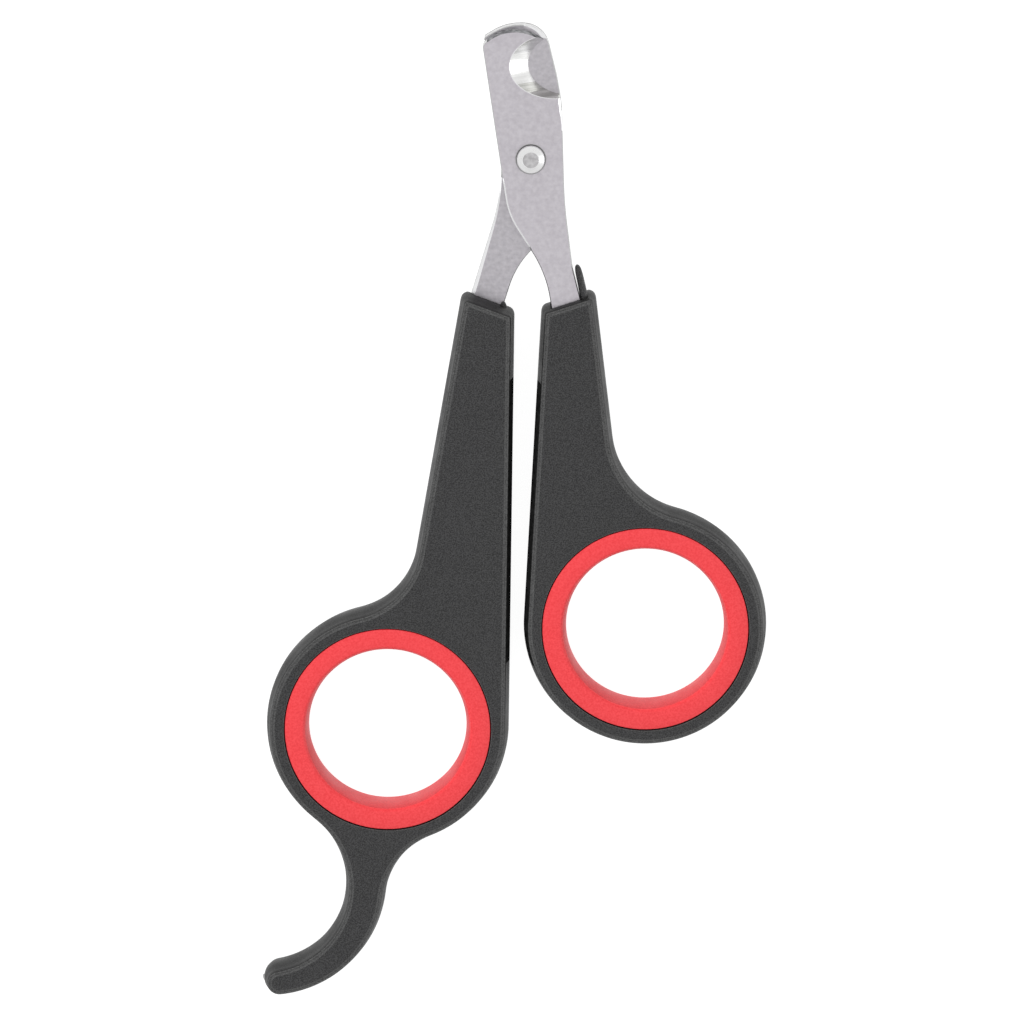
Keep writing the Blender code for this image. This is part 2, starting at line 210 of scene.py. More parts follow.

# Material slots of the handles, the blades, the rings and the rivet. Slot 0 is what no mark changes.
# The handles' closing walls, sides and rims carry painted shade and painted highlight in their slots.
GRAINED, GAP_SHADE, WHITENED, SHADED_WALL, LIT_RIM = range(5)
# The notch wall's upper and lower parts and the front blade's end have slots of painted shade.
FACE, EDGE, WALL, TORN, GROUND, GROUND_TOP_SHADE, GROUND_FOOT_SHADE, SHADED_END, DULL = range(9)
# The inside of a soft ring has a slot of painted shade.
SHADED_BORE = 1
HEAD_FLAT = 1


# Outlines. Each point comes with its outward normal, how far it can be drawn in along that before
# its corner closes up, and the way that the closed corner then slides, so an outline can be inset.

def disc_contact(disc, heading):
    """Point and outward normal where a path with this heading touches a signed disc."""
    normal = Vector((math.sin(heading), -math.cos(heading)))
    return Vector(disc[:2]) + normal * disc[2], normal


def tangent_heading(first, second):
    """Heading of the straight run from one signed disc to the next."""
    run_x = second[0] - first[0]
    run_y = second[1] - first[1]
    slip = (first[2] - second[2]) / math.hypot(run_x, run_y)
    return math.atan2(run_y, run_x) + math.asin(max(-1.0, min(1.0, slip)))


def belt(discs):
    """Closed outline round signed discs, whose hollows are negative: straight runs joined by arcs."""
    headings = [tangent_heading(disc, discs[(i + 1) % len(discs)]) for i, disc in enumerate(discs)]
    outline = []
    for i, disc in enumerate(discs):
        arrive = headings[i - 1]
        turn = (headings[i] - arrive) % math.tau
        if disc[2] < 0.0:
            turn -= math.tau
        if math.tau - abs(turn) < SAME_ANGLE:
            turn = 0.0
        by_angle = math.degrees(abs(turn)) / ARC_DEGREES
        by_length = abs(turn * disc[2]) / ARC_LENGTH
        steps = max(1, math.ceil(max(by_angle, by_length)))
        room = disc[2] - TIGHTEST_CORNER if disc[2] > 0.0 else math.inf
        slide = disc_contact(disc, arrive + turn / 2.0)[1] / -math.cos(turn / 2.0)
        for k in range(steps + 1):
            point, normal = disc_contact(disc, arrive + turn * k / steps)
            outline.append((point, normal, room, slide))
    return stepped(outline)


def stepped(outline):
    """Drops doubled points and divides the straight runs, so that parts of a run can be marked."""
    finer = []
    for i, (end, normal, room, slide) in enumerate(outline):
        start = outline[i - 1][0]
        length = (end - start).length
        if length < SHORTEST_EDGE:
            continue
        parts = math.ceil(length / RUN_LENGTH)
        for k in range(1, parts):
            finer.append((start.lerp(end, k / parts), normal, math.inf, STILL))
        finer.append((end, normal, room, slide))
    return finer


def corner_discs(corners):
    """Signed discs that round the corners of a polygon."""
    discs = []
    for i, (x, y, radius) in enumerate(corners):
        here = Vector((x, y))
        back = (Vector(corners[i - 1][:2]) - here).normalized()
        ahead = (Vector(corners[(i + 1) % len(corners)][:2]) - here).normalized()
        turns_left = (-back).cross(ahead) > 0.0
        half_angle = back.angle(ahead) / 2.0
        centre = here + (back + ahead).normalized() * radius / math.sin(half_angle)
        discs.append((centre.x, centre.y, radius if turns_left else -radius))
    return discs


def against(disc, bearing_deg, radius):
    """Signed disc that touches another, with its centre at this bearing from the other's."""
    distance = abs(disc[2] - radius)
    bearing = math.radians(bearing_deg)
    return disc[0] + distance * math.cos(bearing), disc[1] + distance * math.sin(bearing), radius


def left_outline():
    eye = (*LEFT_EYE, EYE_RADIUS)
    tip = against(HOOK_INSIDE, *HOOK_TIP)
    outside = against(tip, *HOOK_OUTSIDE)
    crook = against(outside, *HOOK_CROOK)
    return belt([*LEFT_MOUTH, against(eye, *LEFT_NECK), eye, HOOK_INSIDE, tip, outside, crook, eye])


def right_outline():
    eye = (*RIGHT_EYE, EYE_RADIUS)
    return belt([*RIGHT_MOUTH, eye, against(eye, *RIGHT_NECK)])


def circle(centre):
    """Round outline of no radius, to be drawn out by as much as is wanted."""
    angles = [math.tau * k / ROUND_STEPS for k in range(ROUND_STEPS)]
    return [(Vector(centre), Vector((math.cos(a), math.sin(a))), math.inf, STILL) for a in angles]


def notch_outline(side):
    """Half oval on the blade, straight out past its edge. side is 1 to open towards +X, -1 towards -X."""
    outline = []
    for k in range(NOTCH_STEPS + 1):
        angle = math.radians(90.0 + 180.0 * k / NOTCH_STEPS)
        point = Vector((NOTCH_LENGTH * math.cos(angle), NOTCH_HALF_WIDTH * math.sin(angle)))
        normal = Vector((math.cos(angle) / NOTCH_LENGTH, math.sin(angle) / NOTCH_HALF_WIDTH)).normalized()
        outline.append((point, normal, math.inf, STILL))
    for y in (-NOTCH_HALF_WIDTH, NOTCH_HALF_WIDTH):
        outline.append((Vector((NOTCH_REACH, y)), Vector((0.0, math.copysign(1.0, y))), math.inf, STILL))
    for point, normal, *_ in outline:
        point.x *= side
        normal.x *= side
    return outline[::side]


# Mesh building

def level(outline, inset, height):
    """Points of an outline drawn in by an inset, one number or one for each point, at one height."""
    insets = inset if isinstance(inset, list) else [inset] * len(outline)
    points = []
    for (point, normal, room, slide), width in zip(outline, insets):
        along = min(width, room)
        moved = point - normal * along + slide * (width - along)
        points.append(Vector((moved.x, moved.y, height)) * MM)
    return points


def loft(model, levels, materials=None, closed=False):
    """Skins the levels of one outline with quads, one material index for each band. Returns the rows."""
    rows = [[model.verts.new(point) for point in points] for points in levels]
    pairs = list(zip(rows, rows[1:]))
    if closed:
        pairs.append((rows[-1], rows[0]))
    for band, (low, high) in enumerate(pairs):
        for i in range(len(low)):
            face = model.faces.new((low[i - 1], low[i], high[i], high[i - 1]))
            face.material_index = materials[band] if materials else 0
    return rows


def fill(model, *loops):
    """Fills the flat face inside an outer loop and round the holes in it."""
    edges = [model.edges.get((loop[i - 1], loop[i])) for loop in loops for i in range(len(loop))]
    bmesh.ops.triangle_fill(model, edges=edges, use_beauty=True)


def plate(profile, outline, holes=(), materials=None):
    """Closed solid of one outline, with holes in it.

    profile is (inset, height) from back to front, and each hole is its centre and its own profile.
    """
    model = bmesh.new()
    rows = loft(model, [level(outline, inset, height) for inset, height in profile], materials)
    walls = []
    for centre, hole_profile in holes:
        rim = circle(centre)
        walls.append(loft(model, [level(rim, -radius, height) for radius, height in hole_profile]))
    fill(model, rows[0], *[wall[0] for wall in walls])
    fill(model, rows[-1], *[wall[-1] for wall in walls])
    bmesh.ops.recalc_face_normals(model, faces=model.faces)
    return model


def turned(profile, centre=(0.0, 0.0), closed=False):
    """Solid turned about Z from (radius, height) points. A closed profile makes a ring."""
    model = bmesh.new()
    rim = circle(centre)
    rows = loft(model, [level(rim, -radius, height) for radius, height in profile], closed=closed)
    if not closed:
        fill(model, rows[0])
        fill(model, rows[-1])
    bmesh.ops.recalc_face_normals(model, faces=model.faces)
    return model


def mark(model, slot, test):
    """Gives another material slot to the faces that pass a test.

    The test takes a face's centre in millimetres, the way it faces in plan, and how far its normal rises.
    """
    model.normal_update()
    for face in model.faces:
        if test(face.calc_center_median() / MM, face.normal.xy.normalized(), abs(face.normal.z)):
            face.material_index = slot


def arc(centre, radii, start_deg, end_deg, steps):
    """Points of an elliptical arc in a section."""
    angles = [math.radians(start_deg + (end_deg - start_deg) * k / steps) for k in range(steps + 1)]
    return [(centre[0] + radii[0] * math.cos(a), centre[1] + radii[1] * math.sin(a)) for a in angles]


def piece(name, model, materials):
    """Makes an object of a finished mesh, in place about the rivet's axis."""
    mesh = bpy.data.meshes.new(name)
    model.to_mesh(mesh)
    model.free()
    for material in materials:
        mesh.materials.append(material)
    obj = bpy.data.objects.new(name, mesh)
    obj.location = PIVOT
    bpy.context.scene.collection.objects.link(obj)
    return obj


def combine(obj, other, operation):
    """Cuts or joins another object for good, keeping the other's materials on its faces."""
    boolean = obj.modifiers.new(operation, "BOOLEAN")
    boolean.operation = operation
    boolean.solver = "EXACT"
    boolean.material_mode = "TRANSFER"
    boolean.object = other
    bpy.context.view_layer.update()
    graph = bpy.context.evaluated_depsgraph_get()
    made = bpy.data.meshes.new_from_object(obj.evaluated_get(graph))
    obj.modifiers.clear()
    obj.data = made
    bpy.data.objects.remove(other)


def deliver(obj, body, node):
    """Shades a finished piece, ties it to its body and hides the CAD node that it stands for."""
    obj.data.shade_smooth()
    obj.data.set_sharp_from_angle(angle=SHARP_ANGLE)
    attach(obj, body)
    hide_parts(node)


# Materials

def new_material(name, colour, roughness, metallic=0.0):
    material = bpy.data.materials.new(name)
    material.use_nodes = True
    shader = material.node_tree.nodes["Principled BSDF"]
    shader.inputs["Base Color"].default_value = (*colour, 1.0)
    shader.inputs["Roughness"].default_value = roughness
    shader.inputs["Metallic"].default_value = metallic
    return material


def noise(material, scale, detail, stretch=(1.0, 1.0, 1.0), turn_deg=0.0):
    """Noise over the piece's own coordinates. Scale is in features for each metre."""
    nodes = material.node_tree.nodes
    links = material.node_tree.links
    coordinates = nodes.new("ShaderNodeTexCoord")
    mapping = nodes.new("ShaderNodeMapping")
    mapping.inputs["Rotation"].default_value = (0.0, 0.0, math.radians(turn_deg))
    mapping.inputs["Scale"].default_value = stretch
    texture = nodes.new("ShaderNodeTexNoise")
    texture.inputs["Scale"].default_value = scale
    texture.inputs["Detail"].default_value = detail
    links.new(coordinates.outputs["Object"], mapping.inputs["Vector"])
    links.new(mapping.outputs["Vector"], texture.inputs["Vector"])
    return texture.outputs["Fac"]


def between(material, value, low, high, target, spread=(0.3, 0.7)):
    """Feeds a socket of the shader from a noise value, spread between two numbers or two colours."""
    nodes = material.node_tree.nodes
    links = material.node_tree.links
    shader = nodes["Principled BSDF"]
    if isinstance(low, tuple):
        ramp = nodes.new("ShaderNodeValToRGB")
        ramp.color_ramp.elements[0].position = spread[0]
        ramp.color_ramp.elements[1].position = spread[1]
        ramp.color_ramp.elements[0].color = (*low, 1.0)
        ramp.color_ramp.elements[1].color = (*high, 1.0)
        links.new(value, ramp.inputs["Fac"])
        links.new(ramp.outputs["Color"], shader.inputs[target])
    else:
        ranged = nodes.new("ShaderNodeMapRange")
        ranged.inputs["From Min"].default_value = spread[0]
        ranged.inputs["From Max"].default_value = spread[1]
        ranged.inputs["To Min"].default_value = low
        ranged.inputs["To Max"].default_value = high
        links.new(value, ranged.inputs["Value"])
        links.new(ranged.outputs["Result"], shader.inputs[target])


def bump(material, *layers):
    """Stacks bumps on the shader's normal. Each layer is a noise value and its height in millimetres."""
    nodes = material.node_tree.nodes
    links = material.node_tree.links
    below = None
    for value, height in layers:
        node = nodes.new("ShaderNodeBump")
        node.inputs["Strength"].default_value = 1.0
        node.inputs["Distance"].default_value = height * MM
        links.new(value, node.inputs["Height"])
        if below:
            links.new(below, node.inputs["Normal"])
        below = node.outputs["Normal"]
    links.new(below, nodes["Principled BSDF"].inputs["Normal"])


def black_plastic(name, dark, light, specular):
    material = new_material(name, light, roughness=0.5)
    material.node_tree.nodes["Principled BSDF"].inputs["Specular IOR Level"].default_value = specular
    clouds = noise(material, scale=260.0, detail=3.0)
    grain = noise(material, scale=7000.0, detail=3.0)
    pits = noise(material, scale=6000.0, detail=3.0)
    between(material, grain, dark, light, "Base Color", spread=(0.38, 0.62))
    between(material, clouds, 0.44, 0.58, "Roughness")
    bump(material, (pits, 0.022), (clouds, 0.02))
    return material


def gap_shade_plastic():
    """The closing walls of the handles, which face each other across the gap: ungrained and much darker, as
    painted shade.
    """
    dark = (0.006, 0.006, 0.006)
    light = (0.022, 0.022, 0.022)
    material = new_material("gap_shade_black_plastic", light, roughness=0.8)
    material.node_tree.nodes["Principled BSDF"].inputs["Specular IOR Level"].default_value = 0.0
    between(material, noise(material, scale=1500.0, detail=3.0), dark, light, "Base Color")
    return material


def torn_plastic():
    """Where a sprue was broken off, the plastic has whitened."""
    dark = (0.16, 0.16, 0.16)
    light = (0.5, 0.5, 0.5)
    material = new_material("torn_plastic", light, roughness=0.7)
    pits = noise(material, scale=4000.0, detail=3.0)
    between(material, pits, dark, light, "Base Color")
    bump(material, (pits, 0.05))
    return material


def red_rubber(name, dark, light):
    material = new_material(name, light, roughness=0.5)
    grain = noise(material, scale=4200.0, detail=3.0)
    clouds = noise(material, scale=300.0, detail=2.0)
    between(material, grain, dark, light, "Base Color", spread=(0.35, 0.65))
    between(material, clouds, 0.46, 0.6, "Roughness")
    bump(material, (grain, 0.02))
    return material


def satin_steel(name, dark, light, turn_deg, line_height):
    """Rolled and ground steel: fine lines across the blade over faint mottling."""
    material = new_material(name, light, roughness=0.36, metallic=1.0)
    clouds = noise(material, scale=1900.0, detail=5.0)
    lines = noise(material, scale=1500.0, detail=3.0, stretch=(0.06, 2.4, 1.0), turn_deg=turn_deg)
    dents = noise(material, scale=2400.0, detail=2.0)
    between(material, clouds, dark, light, "Base Color")
    between(material, lines, 0.29, 0.45, "Roughness")
    bump(material, (lines, line_height), (dents, 0.003))
    return material


def ground_steel(name, dark, light):
    """The notch's ground wall: fine lines from face to face."""
    material = new_material(name, light, roughness=0.24, metallic=1.0)
    lines = noise(material, scale=2600.0, detail=3.0, stretch=(0.03, 1.2, 0.03))
    between(material, lines, dark, light, "Base Color", spread=(0.35, 0.62))
    bump(material, (lines, 0.003))
    return material


def mottled_steel(name, dark, light):
    """Satin with faint pits, for a sheared wall and the flat of the rivet's head."""
    material = new_material(name, light, roughness=0.45, metallic=1.0)
    pits = noise(material, scale=1600.0, detail=5.0)
    between(material, pits, dark, light, "Base Color", spread=(0.35, 0.65))
    bump(material, (pits, 0.01))
    return material


def dull_steel(name, dark, light):
    """Steel left as it was torn: too rough to shine, even when seen along its surface. Also the front
    blade's end, painted dark and unshining as shade.
    """
    material = new_material(name, light, roughness=0.9)
    material.node_tree.nodes["Principled BSDF"].inputs["Specular IOR Level"].default_value = 0.0
    pits = noise(material, scale=1500.0, detail=5.0)
    between(material, pits, dark, light, "Base Color", spread=(0.35, 0.65))
    bump(material, (pits, 0.03))
    return material


def polished_steel(name, colour, rough):
    material = new_material(name, colour, rough, metallic=1.0)
    bump(material, (noise(material, scale=1800.0, detail=2.0), 0.002))
    between(material, noise(material, scale=900.0, detail=2.0), rough - 0.05, rough + 0.05, "Roughness")
    return material


# Handles and rings

def rim_profile():
    """One side of a handle's section, as (inset, height) from the parting line to the flat face."""
    wall = [(WALL_BULGE * share**2, WALL_HEIGHT * share) for share in (0.0, 0.4, 0.75)]
    rim_top = HALF_THICK - FACE_STEP
    lean = math.radians(RIM_LEAN)
    rise = (rim_top - WALL_HEIGHT) / (1.0 - math.sin(lean))
    run = (RIM_WIDTH - WALL_BULGE) / math.cos(lean)
    rounded = arc((RIM_WIDTH, rim_top - rise), (-run, rise), RIM_LEAN, 90.0, 8)
    crease_end = RIM_WIDTH + CREASE_WIDTH
    return [
        *wall,
        *rounded,
        (RIM_WIDTH + CREASE_WIDTH * CREASE_FLOOR[0], rim_top - CREASE_DEPTH),
        (RIM_WIDTH + CREASE_WIDTH * CREASE_FLOOR[1], rim_top - CREASE_DEPTH),
        (crease_end - CREST[0], HALF_THICK - CREST[1]),
        (crease_end, HALF_THICK),
        (crease_end + FACE_MARGIN, HALF_THICK),
    ]


def seat_profile():
    """Finger hole of a handle from back to front, with the rib that keys the ring."""
    narrow = SEAT_RADIUS - RIB_HEIGHT
    upper = [
        (narrow, RIB_HALF_WIDTH),
        (SEAT_RADIUS, RIB_HALF_WIDTH),
        (SEAT_RADIUS, HALF_THICK - SEAT_BREAK),
        (SEAT_RADIUS + SEAT_BREAK * BREAK_ROUNDING, HALF_THICK - SEAT_BREAK * BREAK_ROUNDING),
        (SEAT_RADIUS + SEAT_BREAK, HALF_THICK),
    ]
    return [(radius, -height) for radius, height in reversed(upper)] + upper


def both_sides(side):
    """A section's whole profile from the back to the front, from its front side."""
    return [(inset, -height) for inset, height in reversed(side)] + side[1:]


def tang_pocket(corners, face, anchors):
    """Room for a tang in its handle, with posts left standing in the anchor holes."""
    low, high = sorted((face * BLADE_LOW, face * BLADE_HIGH))
    bottom = low - POCKET_GAP
    top = high + POCKET_GAP
    post_radius = ANCHOR_RADIUS - POCKET_GAP
    posts = [(centre, [(post_radius, bottom), (post_radius, top)]) for centre in anchors]
    profile = [(-POCKET_GAP, bottom), (-POCKET_GAP, top)]
    return plate(profile, belt(corner_discs(corners)), posts)


def handle(name, outline, eye, corners, face, anchors, closing, materials):
    """A handle. closing is the direction along X in which its stop wall faces the other handle."""
    model = plate(both_sides(rim_profile()), outline, [(eye, seat_profile())])

    def on_stop(centre, heading, rise):
        clear_of_seat = (centre.xy - Vector(eye)).length > SEAT_RADIUS + STOP_CLEARANCE
        along = STOP_BOTTOM < centre.y < STOP_TOP
        return clear_of_seat and along and closing * heading.x > 0.9 and abs(centre.z) < STOP_HEIGHT

    # painted shade: a handle's sides get a near-black copy of its plastic
    mark(model, SHADED_WALL, lambda centre, heading, rise: rise < SIDE_RISE)
    # painted highlight: a handle's rounded rims get a lighter copy of its plastic
    mark(model, LIT_RIM, lambda centre, heading, rise: SIDE_RISE < rise < RIM_RISE)
    # painted shade: the closing walls, in the gap between the handles, get a near-black plastic
    mark(model, GAP_SHADE, on_stop)
    obj = piece(name, model, materials)
    pocket = piece(name + "_pocket", tang_pocket(corners, face, anchors), materials)
    combine(obj, pocket, "DIFFERENCE")
    return obj


def sliver(start, bend, end, width, depth, height):
    """Small blunt tongue of moulding flash that follows a curve."""
    start, bend, end = Vector(start), Vector(bend), Vector(end)
    model = bmesh.new()
    levels = []
    for k in range(SLIVER_STEPS + 1):
        t = k / SLIVER_STEPS
        along = start * (1 - t) ** 2 + bend * 2 * t * (1 - t) + end * t**2
        heading = ((bend - start) * (1 - t) + (end - bend) * t).normalized()
        across = Vector((heading.y, -heading.x))
        blunt = math.sqrt(max(0.0, 1.0 - t**SLIVER_BLUNTNESS))
        taper = blunt * (1.0 - SLIVER_THINNING * t) + SLIVER_LEAST
        section = []
        for i in range(SLIVER_SIDES):
            angle = math.tau * i / SLIVER_SIDES
            place = along + across * (math.cos(angle) * width * taper)
            section.append(Vector((place.x, place.y, height + math.sin(angle) * depth * taper)) * MM)
        levels.append(section)
    rows = loft(model, levels)
    fill(model, rows[0])
    fill(model, rows[-1])
    bmesh.ops.recalc_face_normals(model, faces=model.faces)
    return model


def ring_profile():
    """Soft ring: flat faces, a rounded inside and a groove round the outside for the handle's rib."""
    groove = RING_RADIUS - RIB_HEIGHT
    outside = [
        (RING_RADIUS - RING_BREAK, RING_HALF_THICK),
        (RING_RADIUS - RING_BREAK * BREAK_ROUNDING, RING_HALF_THICK - RING_BREAK * BREAK_ROUNDING),
        (RING_RADIUS, RING_HALF_THICK - RING_BREAK),
        (RING_RADIUS, GROOVE_HALF_WIDTH),
        (groove, GROOVE_HALF_WIDTH),
    ]
    outside += [(radius, -height) for radius, height in reversed(outside)]
    inside = arc((RING_LIP, 0.0), (RING_WAIST - RING_LIP, RING_HALF_THICK), -90.0, 90.0, 32)
    return outside + inside


# Blades and rivet

def hole_profile(radius, top_radius, top_depth):
    """Hole through a blade from its back to its front, with broken or countersunk edges."""
    return [
        (radius + HOLE_BREAK, BLADE_LOW),
        (radius, BLADE_LOW + HOLE_BREAK),
        (radius, BLADE_HIGH - top_depth),
        (top_radius, BLADE_HIGH),
    ]


def blade(name, corners, face, anchors, notch, side, rim_width, marks, materials):
    """A stamping: face is 1 for the front blade, -1 for the rear, which shows its mating face.

    Down its wall, a smooth sheared band is followed by a rough torn one. marks are (slot, test).
    """
    outline = belt(corner_discs(corners))
    widths = [rim_width(point, normal) for point, normal, *_ in outline]
    section = [
        (widths, 0.0),
        (0.0, FACE_DROP),
        (0.0, SHEARED_DEPTH),
        (0.0, THICK - BACK_BREAK),
        (BACK_BREAK, THICK),
    ]
    if face > 0:
        profile = [(inset, BLADE_HIGH - depth) for inset, depth in reversed(section)]
    else:
        profile = [(inset, BLADE_LOW + depth) for inset, depth in section]
    bore = hole_profile(BORE_RADIUS, SINK_RADIUS, SINK_DEPTH)
    anchor_hole = hole_profile(ANCHOR_RADIUS, ANCHOR_RADIUS + HOLE_BREAK, HOLE_BREAK)
    bands = [EDGE, WALL, TORN, EDGE][::-face]
    holes = [((0.0, 0.0), bore), *[(anchor, anchor_hole) for anchor in anchors]]
    model = plate(profile, outline, holes, bands)
    for slot, test in marks:
        mark(model, slot, test)
    cutter = notch_cutter(notch, side)
    if face < 0:
        for half in (model, cutter):
            for vertex in half.verts:
                vertex.co.z = -vertex.co.z
            bmesh.ops.reverse_faces(half, faces=half.faces)
    obj = piece(name, model, materials)
    combine(obj, piece(name + "_notch", cutter, materials), "DIFFERENCE")
    return obj


def notch_cutter(centre, side):
    """Oblique grind for a front blade: its wall leans away from the opening, with a broken front edge."""
    outline = [(point + Vector(centre), *rest) for point, *rest in notch_outline(side)]
    deep = BLADE_HIGH * 2.0
    break_low = BLADE_HIGH - NOTCH_BREAK
    flare = deep - break_low
    profile = [(0.0, -deep), (0.0, break_low), (-flare, deep)]
    model = plate(profile, outline, (), [GROUND, EDGE])
    # painted shade: the ground wall's upper and lower parts get darker copies of its steel
    mark(model, GROUND_TOP_SHADE, lambda place, heading, rise: heading.y > 0.5 and rise < WALL_RISE)
    mark(model, GROUND_FOOT_SHADE, lambda place, heading, rise: heading.y < -0.66 and rise < WALL_RISE)
    for vertex in model.verts:
        vertex.co.x -= side * NOTCH_SLANT * vertex.co.z
    return model


def on_neck(point, heading):
    """The long inward curve down the left of the front blade, whose edge is polished."""
    return heading.x < -0.5 and NECK_BOTTOM < point.y < NECK_TOP


def below_notch(point, heading):
    """The right edge of the front blade below the notch, where the grinding ran on."""
    return heading.x > 0.5 and FOOT_BOTTOM < point.y < FOOT_TOP


def on_end(point, heading):
    """The tip of the front blade, short of its left corner, which is painted dark as shade."""
    return heading.y > 0.3 and heading.x > -0.62 and point.y > END_BOTTOM


def on_tang(point, heading):
    """The left side of the rear blade's tang, which has a wide polished chamfer."""
    return heading.x < -0.6 and point.y < TANG_TOP


def on_shoulder(point, heading):
    """The right shoulder of the rear blade's tip, which is polished like its tang."""
    return heading.x > 0.05 and heading.y > 0.3 and point.y > SHOULDER_BOTTOM


def front_rim(point, normal):
    """Width of the broken edge of the front blade."""
    if below_notch(point, normal):
        least, gain = FOOT_BREAKS
        return least + gain * (point.y - FOOT_BOTTOM) / FOOT_RUN
    return NECK_BREAK if on_neck(point, normal) else FACE_BREAK


def rear_rim(point, normal):
    """Width of the broken edge of the rear blade, which grows down its tang and round its shoulder."""
    if on_shoulder(point, normal):
        return FACE_BREAK + SHOULDER_GAIN * normal.x
    if on_tang(point, normal):
        return FACE_BREAK + TANG_GAIN * min(1.0, (TANG_TOP - point.y) / TANG_RUN)
    return FACE_BREAK


def rivet_profile():
    """Turned rivet from its tail to its head: domed tail, shank, chamfered head with a flat top."""
    top = HEAD_UNDER + HEAD_HEIGHT
    return [
        (0.35, -HEAD_UNDER - TAIL_HEIGHT),
        (0.8, -HEAD_UNDER - TAIL_HEIGHT * 0.97),
        (1.25, -HEAD_UNDER - TAIL_HEIGHT * 0.82),
        (1.6, -HEAD_UNDER - TAIL_HEIGHT * 0.5),
        (TAIL_RADIUS, -HEAD_UNDER - TAIL_HEIGHT * 0.15),
        (TAIL_RADIUS, -HEAD_UNDER),
        (SHANK_RADIUS, -HEAD_UNDER),
        (SHANK_RADIUS, HEAD_UNDER),
        (HEAD_RADIUS - 0.06, HEAD_UNDER),
        (HEAD_RADIUS, HEAD_UNDER + 0.06),
        (HEAD_RADIUS, HEAD_UNDER + HEAD_HEIGHT * 0.3),
        (HEAD_RADIUS - 0.08, HEAD_UNDER + HEAD_HEIGHT * 0.52),
        (HEAD_FLAT_RADIUS + 0.14, top - 0.1),
        (HEAD_FLAT_RADIUS + 0.03, top - 0.03),
        (HEAD_FLAT_RADIUS, top - 0.06),
        (HEAD_FLAT_RADIUS - 0.05, top - 0.03),
    ]


# Scene

def add_camera():
    data = bpy.data.cameras.new("camera")
    data.sensor_width = SENSOR_WIDTH
    data.lens = SENSOR_WIDTH * CAMERA_DISTANCE / FIELD_WIDTH
    data.clip_start = 0.05
    data.clip_end = 50.0
    camera = bpy.data.objects.new("camera", data)
    away = Vector((0.0, math.sin(CAMERA_TILT), math.cos(CAMERA_TILT)))
    camera.location = TARGET + away * CAMERA_DISTANCE
    camera.rotation_euler = (-CAMERA_TILT, 0.0, 0.0)
    bpy.context.scene.collection.objects.link(camera)
    bpy.context.scene.camera = camera


def add_softbox(name, place, size, watts, mirrored):
    """Square area light that faces the object: a soft fill, or else only mirrored in what shines."""
    data = bpy.data.lights.new(name, "AREA")
    data.shape = "SQUARE"
    data.size = size
    data.energy = watts
    lamp = bpy.data.objects.new(name, data)
    lamp.location = place
    lamp.rotation_mode = "QUATERNION"
    lamp.rotation_quaternion = (TARGET - Vector(place)).to_track_quat("-Z", "Y")
    lamp.visible_camera = False
    lamp.visible_glossy = mirrored
    lamp.visible_diffuse = not mirrored
    bpy.context.scene.collection.objects.link(lamp)


def add_world():
    """White surround, brighter overhead than at the horizon."""
    world = bpy.data.worlds.new("studio")
    world.use_nodes = True
    nodes = world.node_tree.nodes
    links = world.node_tree.links
    direction = nodes.new("ShaderNodeTexCoord")
    split = nodes.new("ShaderNodeSeparateXYZ")
    strength = nodes.new("ShaderNodeMapRange")
    strength.inputs["From Min"].default_value = 0.0
    strength.inputs["From Max"].default_value = ZENITH_RISE
    strength.inputs["To Min"].default_value = HORIZON_LIGHT
    strength.inputs["To Max"].default_value = ZENITH_LIGHT
    links.new(direction.outputs["Generated"], split.inputs["Vector"])
    links.new(split.outputs["Z"], strength.inputs["Value"])
    nodes["Background"].inputs["Color"].default_value = (1.0, 1.0, 1.0, 1.0)
    links.new(strength.outputs["Result"], nodes["Background"].inputs["Strength"])
    bpy.context.scene.world = world


def add_floor():
    """Plain white table that glows, so that hardly a shadow shows."""
    model = bmesh.new()
    bmesh.ops.create_grid(model, x_segments=1, y_segments=1, size=FLOOR_HALF_SIZE)
    mesh = bpy.data.meshes.new("floor")
    model.to_mesh(mesh)
    model.free()
    material = new_material("white_table", (0.25, 0.25, 0.25), roughness=0.9)
    shader = material.node_tree.nodes["Principled BSDF"]
    shader.inputs["Emission Color"].default_value = (1.0, 1.0, 1.0, 1.0)
    shader.inputs["Emission Strength"].default_value = TABLE_GLOW
    mesh.materials.append(material)
    floor = bpy.data.objects.new("floor", mesh)
    floor.location = (0.0, 0.0, -FLOOR_DROP)
    bpy.context.scene.collection.objects.link(floor)


def blade_steels(face):
    """Materials of a blade, in the order of its slots."""
    bright = polished_steel("polished_edge", (0.95, 0.95, 0.96), 0.22)
    torn = dull_steel("torn_wall", (0.16, 0.16, 0.16), (0.34, 0.34, 0.34))
    wall = mottled_steel("sheared_wall", (0.50, 0.50, 0.50), (0.72, 0.72, 0.72))
    ground = ground_steel("ground_wall", (0.93, 0.93, 0.92), (1.0, 1.0, 0.99))
    # painted shade: darker copies of the ground steel, for the notch wall's upper and lower parts
    ground_top_shade = ground_steel("ground_wall_top_shade", (0.68, 0.68, 0.68), (0.84, 0.84, 0.84))
    ground_foot_shade = ground_steel("ground_wall_foot_shade", (0.46, 0.46, 0.43), (0.78, 0.78, 0.75))
    # painted shade: a dark, unshining steel for the front blade's end
    shaded_end = dull_steel("shaded_end", (0.08, 0.08, 0.085), (0.30, 0.30, 0.31))
    dull = polished_steel("dull_edge", (0.42, 0.42, 0.42), 0.35)
    return [face, bright, wall, torn, ground, ground_top_shade, ground_foot_shade, shaded_end, dull]


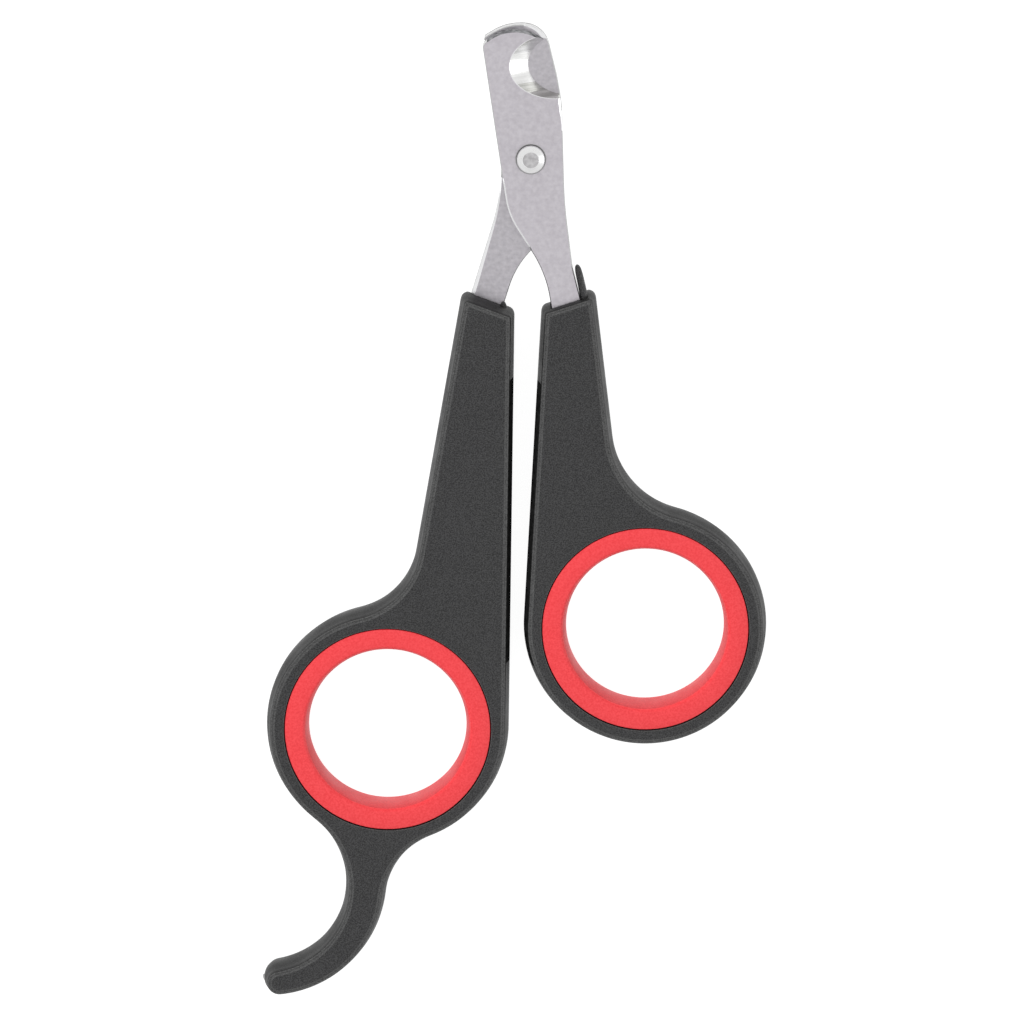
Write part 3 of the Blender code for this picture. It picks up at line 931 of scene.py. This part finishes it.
def add_blades():
    front_face = satin_steel("satin_front", (0.58, 0.55, 0.59), (0.68, 0.65, 0.69), 8.0, 0.005)
    rear_face = satin_steel("satin_rear", (0.50, 0.48, 0.51), (0.62, 0.595, 0.63), 12.0, 0.012)

    def front_dull(centre, heading, rise):
        polished = on_neck(centre, heading) or below_notch(centre, heading)
        return CHAMFER_RISE < rise < FLAT_RISE and not polished

    # painted shade on the front blade's end
    def front_end(centre, heading, rise):
        return rise < FLAT_RISE and on_end(centre, heading)

    def rear_dull(centre, heading, rise):
        polished = on_tang(centre, heading) or on_shoulder(centre, heading)
        return CHAMFER_RISE < rise < FLAT_RISE and not polished

    front = blade(
        "front_blade_finish", FRONT_CORNERS, 1, FRONT_ANCHORS, FRONT_NOTCH, 1, front_rim,
        [(DULL, front_dull), (SHADED_END, front_end)], blade_steels(front_face),
    )
    rear = blade(
        "rear_blade_finish", REAR_CORNERS, -1, REAR_ANCHORS, REAR_NOTCH, -1, rear_rim,
        [(DULL, rear_dull)], blade_steels(rear_face),
    )
    deliver(front, "front_lever", "front_blade")
    deliver(rear, "rear_lever", "rear_blade")


def add_rivet():
    head = turned(rivet_profile())
    near_top = HEAD_UNDER + HEAD_HEIGHT * 0.95
    mark(head, HEAD_FLAT, lambda centre, heading, rise: centre.z > near_top and rise > FLAT_RISE)
    # the chamfer is polished, and its near-white against the darker satin of the flat is partly a painted
    # highlight
    bright = polished_steel("rivet_head_polish_and_highlight", (0.95, 0.95, 0.95), 0.32)
    satin = mottled_steel("rivet_flat", (0.49, 0.48, 0.49), (0.69, 0.68, 0.69))
    rivet = piece("pivot_rivet_finish", head, [bright, satin])
    deliver(rivet, "rear_lever", "pivot_rivet")


def add_handles():
    plastics = [
        black_plastic("grained_black_plastic", (0.005, 0.005, 0.0055), (0.047, 0.047, 0.048), 0.46),
        # painted shade for the closing walls
        gap_shade_plastic(),
        torn_plastic(),
        # painted shade for the handles' sides
        black_plastic("black_plastic_shaded_wall", (0.001, 0.001, 0.001), (0.022, 0.022, 0.022), 0.25),
        # painted highlight for the handles' rims
        black_plastic("lit_black_rim", (0.032, 0.032, 0.032), (0.088, 0.088, 0.088), 0.46),
    ]
    left = handle(
        "left_handle_finish", left_outline(), LEFT_EYE, REAR_CORNERS, -1, REAR_ANCHORS, 1, plastics,
    )
    right = handle(
        "right_handle_finish", right_outline(), RIGHT_EYE, FRONT_CORNERS, 1, FRONT_ANCHORS, -1, plastics,
    )
    combine(right, piece("nib", sliver(*NIB), plastics), "UNION")
    combine(left, piece("lip", sliver(*LIP), plastics), "UNION")
    gate = sliver(*GATE)
    mark(gate, WHITENED, lambda centre, heading, rise: True)
    combine(left, piece("gate", gate, plastics), "UNION")
    deliver(left, "rear_lever", "left_handle")
    deliver(right, "front_lever", "right_handle")


def add_rings():
    rubbers = [
        red_rubber("soft_red_rubber", (0.76, 0.032, 0.040), (0.86, 0.056, 0.066)),
        # painted shade: a darker red for the inside of the ring
        red_rubber("red_rubber_shaded_bore", (0.58, 0.026, 0.034), (0.70, 0.046, 0.056)),
    ]
    rings = (("left_ring", LEFT_EYE, "rear_lever"), ("right_ring", RIGHT_EYE, "front_lever"))
    for name, centre, body in rings:
        model = turned(ring_profile(), centre, closed=True)
        # painted shade on the ring's inside
        mark(model, SHADED_BORE, lambda place, heading, rise: rise < BORE_RISE and abs(place.z) < BORE_HEIGHT)
        deliver(piece(name + "_finish", model, rubbers), body, name)


def main():
    bpy.context.scene.view_settings.view_transform = "Standard"
    add_camera()
    add_world()
    add_floor()
    add_softbox("key", place=(-0.9, 0.9, 1.1), size=0.8, watts=14.0, mirrored=False)
    add_softbox("side", place=(1.3, -0.1, 0.4), size=0.6, watts=2.4, mirrored=True)
    add_blades()
    add_rivet()
    add_handles()
    add_rings()


main()
